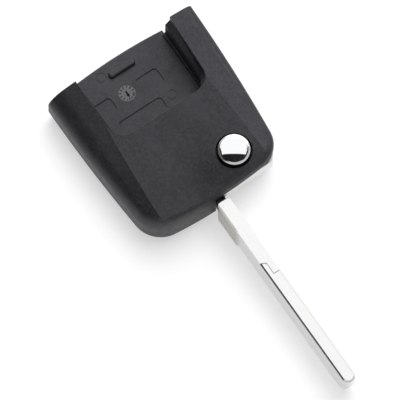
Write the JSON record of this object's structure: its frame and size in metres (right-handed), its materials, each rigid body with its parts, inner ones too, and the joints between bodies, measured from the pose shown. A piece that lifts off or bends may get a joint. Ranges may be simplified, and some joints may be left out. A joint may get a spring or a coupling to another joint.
{
  "type": "flip key head with blade",
  "caption": "Moulded flip key head with an open bay for the remote module, a round chrome release button and an uncut steel blade swung out.",
  "frame": {"origin": "where the blade's flip axis meets the flat back face", "axes": "+Y along the open blade towards its tip, +X across the head to its far side, +Z out of the button face"},
  "size_m": [0.0384, 0.0931, 0.014],
  "materials": {
    "shell_plastic": "fine matte grain",
    "tray_plastic": "fine matte grain",
    "button_chrome": "bright plated",
    "hub_metal": "cast, plain",
    "blade_steel": "plated, lightly brushed",
    "pin_steel": "spring steel",
    "spring_steel": "drawn wire",
    "capsule_glass": "clear",
    "screw_steel": "zinc plated"
  },
  "bodies": {
    "head": {"upper_shell": "shell_plastic", "lower_shell": "tray_plastic", "flip_spring": "spring_steel", "transponder_capsule": "capsule_glass", "case_screw": "screw_steel"},
    "blade": {"blade_hub": "hub_metal", "key_blade": "blade_steel", "blade_roll_pin": "pin_steel"},
    "button": {"release_button": "button_chrome"}
  },
  "joints": [
    {"name": "blade_flip", "type": "hinge", "parent": "head", "child": "blade", "pos_m": [0, 0, 0.006], "axis": [0, 0, 1], "range_deg": [0, 180], "stiffness_Nm_per_rad": 0.01, "springref_deg": -28.65},
    {"name": "button_press", "type": "slide", "parent": "blade", "child": "button", "axis": [0, 0, -1], "range_m": [0, 0.0018], "stiffness_N_per_m": 800, "springref_m": -0.002}
  ]
}
